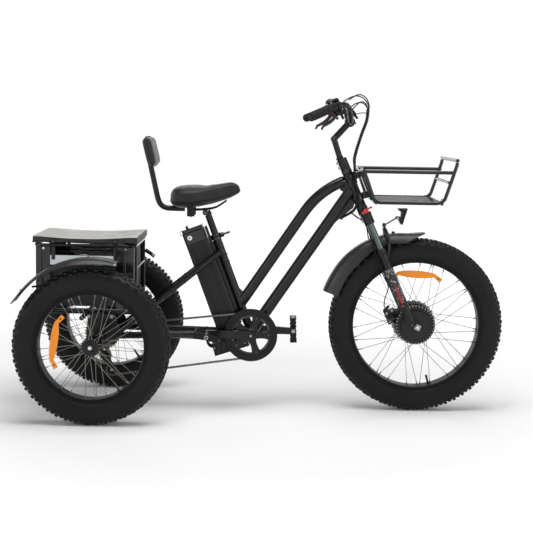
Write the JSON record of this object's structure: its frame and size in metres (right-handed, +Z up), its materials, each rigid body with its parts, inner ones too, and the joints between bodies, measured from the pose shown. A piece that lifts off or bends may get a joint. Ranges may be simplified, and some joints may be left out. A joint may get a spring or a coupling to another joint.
{
  "type": "adult cargo tricycle",
  "caption": "Electric adult tricycle with fat tyres, step-through frame, front hub motor, suspension fork, front rack, seat with backrest and covered rear cargo basket.",
  "frame": {"origin": "on the floor under the middle of the tricycle's length and width", "axes": "+X forward, +Y to the rider's left, +Z up"},
  "size_m": [1.882, 0.814, 1.2484],
  "materials": {
    "frame_black": "satin powder coat",
    "black_metal": "satin black",
    "black_plastic": "fine moulded grain",
    "guard_plastic": "dark grey moulded plastic",
    "tyre_rubber": "moulded knobs",
    "grip_rubber": "ribbed",
    "vinyl": "soft black vinyl",
    "liner_pvc": "coated black cloth",
    "cover_cloth": "coated grey cloth",
    "bare_steel": "bright",
    "polished_alloy": "machined",
    "stanchion_tube": "dark polished",
    "red_plastic": "gloss red",
    "chain_steel": "oiled",
    "sprocket_gold": "bronze tinted plate",
    "cable_black": "smooth housing",
    "battery_shell": "anodised matt black",
    "orange_lens": "prismatic reflector"
  },
  "bodies": {
    "frame": {"main_frame": "frame_black", "rear_frame": "frame_black", "bearings": "bare_steel", "seat_collar": "polished_alloy", "battery_rail": "black_metal", "controller_box": "black_plastic", "basket_frame": "black_metal", "basket_liner": "liner_pvc", "basket_cover": "cover_cloth", "rear_mudguards": "guard_plastic", "front_rack": "black_metal", "chain": "chain_steel", "derailleur": "black_metal", "frame_cables": "cable_black"},
    "steering": {"fork_crown": "black_metal", "stanchions": "stanchion_tube", "lockout_caps": "red_plastic", "stem": "black_metal", "handlebar": "black_metal", "grips": "grip_rubber", "lever_mounts": "black_plastic", "display": "black_plastic", "handlebar_cables": "cable_black"},
    "brake_lever_left": {"brake_lever_left": "black_metal"},
    "brake_lever_right": {"brake_lever_right": "black_metal"},
    "throttle": {"throttle": "grip_rubber"},
    "shift_lever": {"shift_lever": "black_plastic"},
    "bell_lever": {"bell_lever": "black_plastic"},
    "fork": {"fork_lowers": "black_metal", "front_mudguard": "guard_plastic", "light_bracket": "black_metal", "brake_caliper": "black_metal", "front_axle": "bare_steel"},
    "lamp": {"headlight": "black_plastic"},
    "front_wheel": {"front_tyre": "tyre_rubber", "front_rim": "black_metal", "front_spokes": "bare_steel", "hub_motor": "black_metal", "brake_rotor": "bare_steel"},
    "crank": {"crank_arms": "black_metal", "chainring": "black_metal"},
    "pedal_left": {"pedal_left": "black_plastic"},
    "pedal_right": {"pedal_right": "black_plastic"},
    "cassette": {"cassette": "sprocket_gold"},
    "guide_pulley": {"guide_pulley": "black_plastic"},
    "tension_pulley": {"tension_pulley": "black_plastic"},
    "left_wheel": {"left_tyre": "tyre_rubber", "left_rim": "black_metal", "left_hub": "black_metal", "left_shaft": "bare_steel"},
    "right_wheel": {"right_tyre": "tyre_rubber", "right_rim": "black_metal", "right_hub": "black_metal", "right_shaft": "bare_steel"},
    "seat": {"seatpost": "black_metal", "saddle": "vinyl", "backrest_tube": "black_metal", "backrest_pad": "vinyl"},
    "seat_lever": {"seat_lever": "black_metal"},
    "battery": {"battery": "battery_shell"}
  },
  "joints": [
    {"name": "steering_turn", "type": "hinge", "parent": "frame", "child": "steering", "pos_m": [0.371, 0, 0.811], "axis": [-0.4067, 0, 0.9135], "range_deg": [-40, 40]},
    {"name": "fork_travel", "type": "slide", "parent": "steering", "child": "fork", "axis": [-0.4067, 0, 0.9135], "range_m": [0, 0.02], "stiffness_N_per_m": 9000, "springref_m": -0.05},
    {"name": "lamp_tilt", "type": "hinge", "parent": "fork", "child": "lamp", "pos_m": [0.514, 0, 0.768], "axis": [0, 1, 0], "range_deg": [-8, 8]},
    {"name": "front_wheel_spin", "type": "hinge", "parent": "fork", "child": "front_wheel", "pos_m": [0.596, 0, 0.345], "axis": [0, 1, 0], "continuous": true},
    {"name": "crank_spin", "type": "hinge", "parent": "frame", "child": "crank", "pos_m": [-0.057, 0, 0.3], "axis": [0, 1, 0], "continuous": true},
    {"name": "pedal_left_spin", "type": "hinge", "parent": "crank", "child": "pedal_left", "pos_m": [0.1139, 0.14, 0.29403], "axis": [0, 1, 0], "continuous": true},
    {"name": "pedal_right_spin", "type": "hinge", "parent": "crank", "child": "pedal_right", "pos_m": [-0.2279, -0.14, 0.30597], "axis": [0, 1, 0], "continuous": true},
    {"name": "cassette_spin", "type": "hinge", "parent": "frame", "child": "cassette", "pos_m": [-0.646, 0, 0.295], "axis": [0, 1, 0], "continuous": true},
    {"name": "guide_pulley_spin", "type": "hinge", "parent": "frame", "child": "guide_pulley", "pos_m": [-0.632, -0.062, 0.208], "axis": [0, 1, 0], "continuous": true},
    {"name": "tension_pulley_spin", "type": "hinge", "parent": "frame", "child": "tension_pulley", "pos_m": [-0.605, -0.062, 0.152], "axis": [0, 1, 0], "continuous": true},
    {"name": "left_wheel_spin", "type": "hinge", "parent": "frame", "child": "left_wheel", "pos_m": [-0.646, 0.351, 0.295], "axis": [0, 1, 0], "continuous": true},
    {"name": "right_wheel_spin", "type": "hinge", "parent": "frame", "child": "right_wheel", "pos_m": [-0.646, -0.351, 0.295], "axis": [0, 1, 0], "continuous": true},
    {"name": "brake_lever_left_squeeze", "type": "hinge", "parent": "steering", "child": "brake_lever_left", "pos_m": [0.25448, 0.21791, 1.1724], "axis": [0.6633, 0.6429, 0.383], "range_deg": [0, 12], "stiffness_Nm_per_rad": 0.6, "springref_deg": -28.65},
    {"name": "brake_lever_right_squeeze", "type": "hinge", "parent": "steering", "child": "brake_lever_right", "pos_m": [0.25448, -0.21791, 1.1724], "axis": [-0.6633, 0.6429, -0.383], "range_deg": [0, 12], "stiffness_Nm_per_rad": 0.6, "springref_deg": -28.65},
    {"name": "throttle_twist", "type": "hinge", "parent": "steering", "child": "throttle", "pos_m": [0.22245, -0.24257, 1.18648], "axis": [-0.5888, -0.7642, -0.2631], "range_deg": [0, 60], "stiffness_Nm_per_rad": 0.1, "springref_deg": -17.19},
    {"name": "shift_lever_push", "type": "hinge", "parent": "steering", "child": "shift_lever", "pos_m": [0.26974, -0.20135, 1.17376], "axis": [-0.6633, 0.6429, -0.383], "range_deg": [0, 20], "stiffness_Nm_per_rad": 0.05, "springref_deg": -22.92},
    {"name": "bell_lever_push", "type": "hinge", "parent": "steering", "child": "bell_lever", "pos_m": [0.26974, 0.20135, 1.17376], "axis": [0.6633, 0.6429, 0.383], "range_deg": [0, 20], "stiffness_Nm_per_rad": 0.05, "springref_deg": -22.92},
    {"name": "seatpost_slide", "type": "slide", "parent": "frame", "child": "seat", "axis": [-0.3535, 0, 0.9354], "range_m": [-0.015, 0.08]},
    {"name": "seat_lever_open", "type": "hinge", "parent": "frame", "child": "seat_lever", "pos_m": [-0.17548, -0.015, 0.68711], "axis": [0.3535, 0, -0.9354], "range_deg": [0, 100]},
    {"name": "battery_slide", "type": "slide", "parent": "frame", "child": "battery", "axis": [-0.3535, 0, 0.9354], "range_m": [0, 0.02]}
  ],
  "couplings": [
    {"joint": "cassette_spin", "follows": "crank_spin", "ratio": 3.1429},
    {"joint": "guide_pulley_spin", "follows": "crank_spin", "ratio": -4},
    {"joint": "tension_pulley_spin", "follows": "crank_spin", "ratio": 4}
  ]
}
